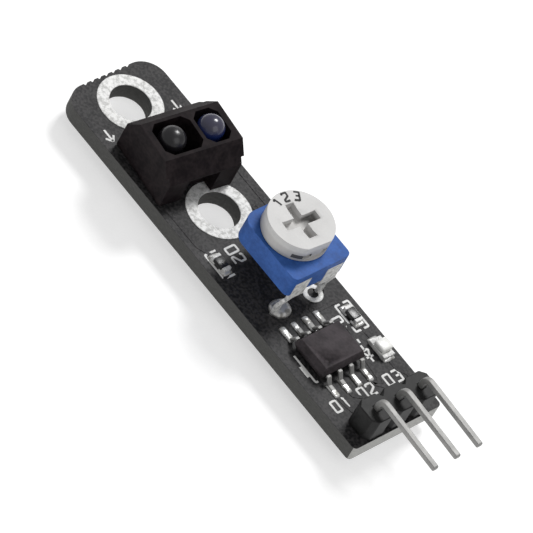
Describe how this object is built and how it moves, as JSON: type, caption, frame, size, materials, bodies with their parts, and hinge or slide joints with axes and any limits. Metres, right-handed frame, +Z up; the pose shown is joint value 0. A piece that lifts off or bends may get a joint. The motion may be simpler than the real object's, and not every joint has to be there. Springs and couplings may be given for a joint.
{
  "type": "line sensor module",
  "caption": "Narrow infrared line-tracking sensor board with screw holes, a trimmer with a turning dial and a bent pin header.",
  "frame": {"origin": "bottom centre of the bounding box, under the middle of the module", "axes": "+X along the board towards the header pins; +Z up, from the solder side to the component side; +Y the emitter's side"},
  "size_m": [0.0447, 0.01, 0.0098],
  "materials": {
    "solder_mask": "matte solder mask over glass-fibre laminate",
    "tin": "bright tinned metal",
    "solder": "slightly dull solder",
    "housing_black": "matte moulded black",
    "lens_dark": "clear gloss, nearly black",
    "lens_clear": "water-clear gloss with a blue cast",
    "trimmer_blue": "satin moulded blue",
    "dial_white": "matte moulded off-white",
    "track_black": "matte resistive film",
    "spring_metal": "rolled spring strip",
    "chip_black": "matte moulded epoxy",
    "resistor_black": "satin glass coat",
    "lamp_white": "matte white",
    "lamp_clear": "frosted clear",
    "header_black": "satin moulded black"
  },
  "bodies": {
    "module": {"circuit_board": "solder_mask", "comparator_body": "chip_black", "comparator_lead_far_1": "tin", "comparator_lead_far_2": "tin", "comparator_lead_far_3": "tin", "comparator_lead_far_4": "tin", "comparator_lead_near_1": "tin", "comparator_lead_near_2": "tin", "comparator_lead_near_3": "tin", "comparator_lead_near_4": "tin", "emitter_back_lead": "tin", "emitter_back_solder": "solder", "emitter_front_lead": "tin", "emitter_front_solder": "solder", "emitter_lens": "lens_clear", "far_hole_ring_bottom": "tin", "far_hole_ring_top": "tin", "header_block": "header_black", "header_pin_left": "tin", "header_pin_middle": "tin", "header_pin_right": "tin", "header_solder_left": "solder", "header_solder_middle": "solder", "header_solder_right": "solder", "indicator_base": "lamp_white", "indicator_lens": "lamp_clear", "indicator_terminal_far": "tin", "indicator_terminal_near": "tin", "near_hole_ring_bottom": "tin", "near_hole_ring_top": "tin", "phototransistor_back_lead": "tin", "phototransistor_back_solder": "solder", "phototransistor_front_lead": "tin", "phototransistor_front_solder": "solder", "phototransistor_lens": "lens_dark", "resistance_track": "track_black", "resistor_1_body": "resistor_black", "resistor_1_cap_far": "tin", "resistor_1_cap_near": "tin", "resistor_2_body": "resistor_black", "resistor_2_cap_far": "tin", "resistor_2_cap_near": "tin", "sensor_housing": "housing_black", "trimmer_base": "trimmer_blue", "trimmer_solder_left": "solder", "trimmer_solder_rear": "solder", "trimmer_solder_right": "solder", "trimmer_terminal_left": "tin", "trimmer_terminal_rear": "tin", "trimmer_terminal_right": "tin"},
    "dial": {"trimmer_dial": "dial_white", "trimmer_wiper": "spring_metal"}
  },
  "joints": [
    {"name": "trimmer_turn", "type": "hinge", "parent": "module", "child": "dial", "pos_m": [-0.0003, 0.00015, 0.0081], "axis": [0, 0, 1], "range_deg": [-115, 115]}
  ]
}
